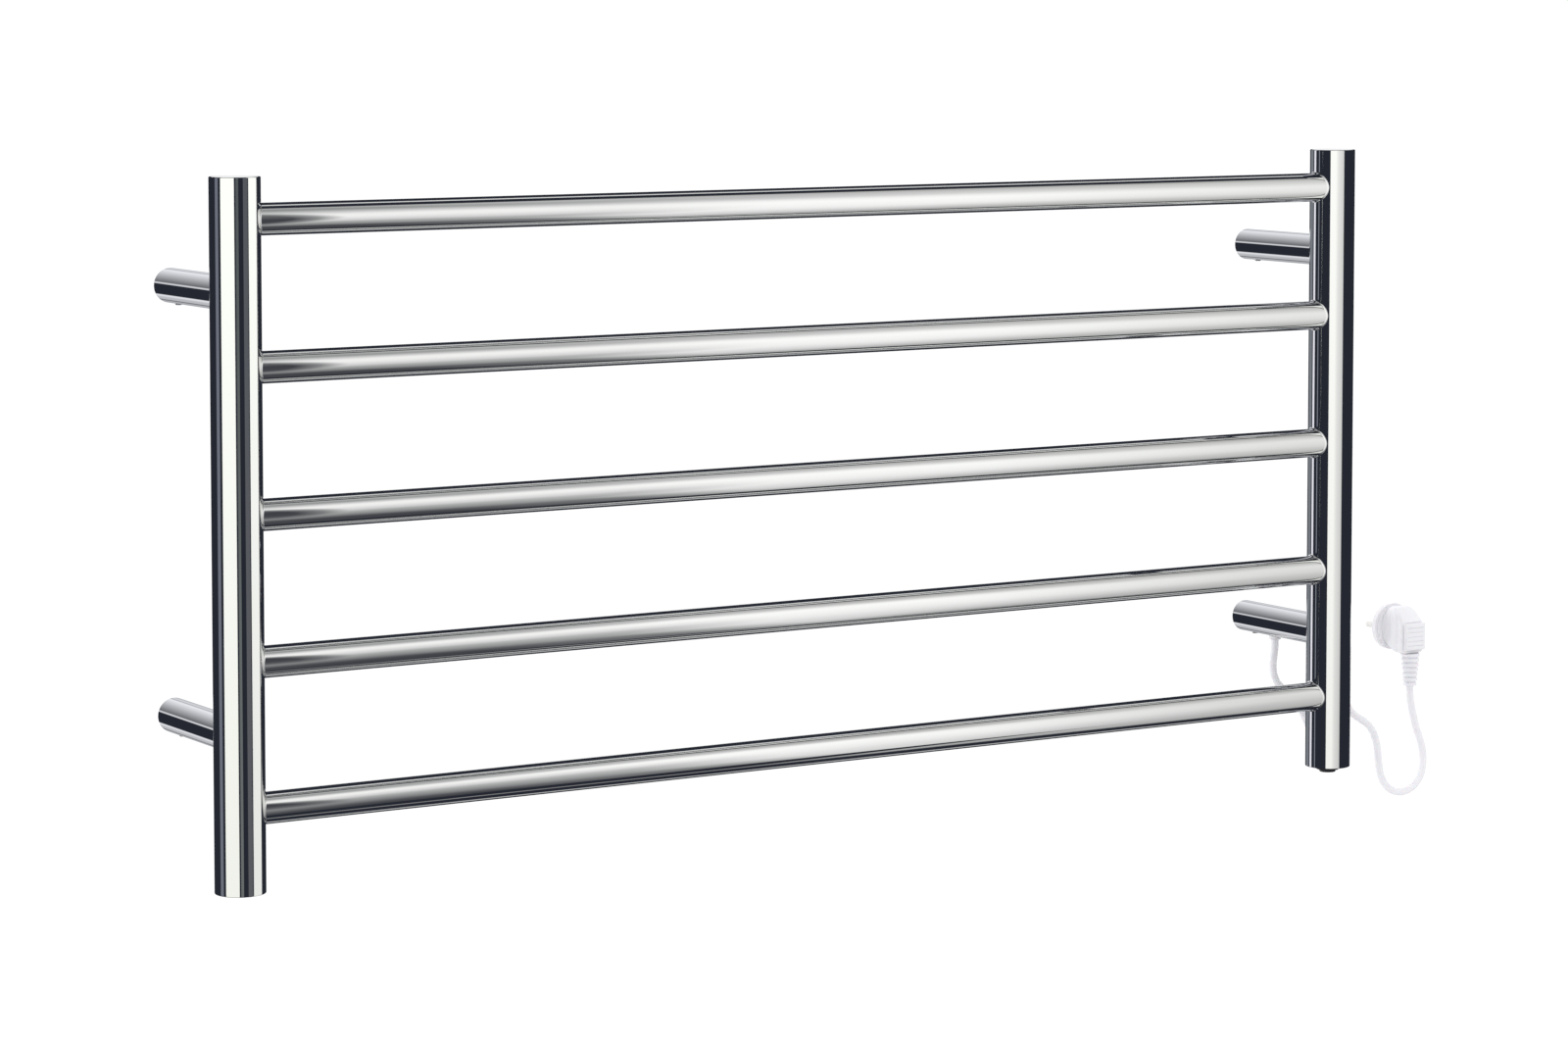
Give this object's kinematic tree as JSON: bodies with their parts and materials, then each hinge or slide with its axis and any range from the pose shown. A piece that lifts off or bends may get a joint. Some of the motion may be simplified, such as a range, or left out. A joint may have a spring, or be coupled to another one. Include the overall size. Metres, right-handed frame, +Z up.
{
  "type": "towel warmer rack",
  "caption": "Wall-hung electric towel warmer: round bars between two upright tubes, wall standoffs, push button below the right tube, white mains lead with plug.",
  "frame": {"origin": "on the wall, at the centre of the four wall fixings, level with the middle bar", "axes": "+X along the bars to the right, +Y into the wall, +Z up"},
  "size_m": [1.1405, 0.13, 0.5464],
  "materials": {
    "stainless": "mirror polished",
    "zinc_steel": "zinc plated",
    "brass": "satin",
    "black_plastic": "satin",
    "white_plastic": "satin",
    "white_pvc": "smooth, flexible",
    "red_silicone": "matte",
    "ceramic": "matte",
    "brown_insulation": "matte",
    "green_insulation": "matte"
  },
  "bodies": {
    "rack": {"left_post": "stainless", "right_post": "stainless", "left_post_top_cap": "stainless", "left_post_bottom_cap": "stainless", "right_post_top_cap": "stainless", "bar_1": "stainless", "bar_2": "stainless", "bar_3": "stainless", "bar_4": "stainless", "bar_5": "stainless", "upper_left_standoff": "stainless", "lower_left_standoff": "stainless", "upper_right_standoff": "stainless", "lower_right_standoff": "stainless", "switch_holder": "stainless", "upper_left_anchor": "zinc_steel", "upper_left_grub_screw": "zinc_steel", "lower_left_anchor": "zinc_steel", "lower_left_grub_screw": "zinc_steel", "upper_right_anchor": "zinc_steel", "upper_right_grub_screw": "zinc_steel", "lower_right_anchor": "zinc_steel", "lower_right_grub_screw": "zinc_steel", "earth_stud": "zinc_steel", "earth_tag": "zinc_steel", "earth_nut": "zinc_steel", "switch_nut": "zinc_steel", "switch_spring": "zinc_steel", "thermal_fuse": "zinc_steel", "plug_earth_clip_1": "zinc_steel", "plug_earth_clip_2": "zinc_steel", "plug_pin_1": "zinc_steel", "plug_pin_2": "zinc_steel", "switch_contact_1": "brass", "switch_contact_2": "brass", "heating_cable_seal": "black_plastic", "lead_bush": "black_plastic", "switch_housing": "black_plastic", "switch_cover": "black_plastic", "cord_tie": "black_plastic", "cord_gland": "white_plastic", "plug_base": "white_plastic", "plug_cover": "white_plastic", "plug_grip_pad": "white_plastic", "inner_lead": "white_pvc", "power_cord_upper": "white_pvc", "power_cord_lower": "white_pvc", "power_cord_hank": "white_pvc", "plug_boot": "white_pvc", "heating_cable": "red_silicone", "terminal_block": "ceramic", "switch_wire_1": "brown_insulation", "switch_wire_2": "brown_insulation", "earth_wire": "green_insulation"},
    "button": {"switch_button": "black_plastic", "switch_bridge": "brass"}
  },
  "joints": [
    {"name": "button_press", "type": "slide", "parent": "rack", "child": "button", "axis": [0, 0, 1], "range_m": [0, 0.0015], "stiffness_N_per_m": 400, "springref_m": -0.004, "deforming": ["switch_spring"]}
  ]
}
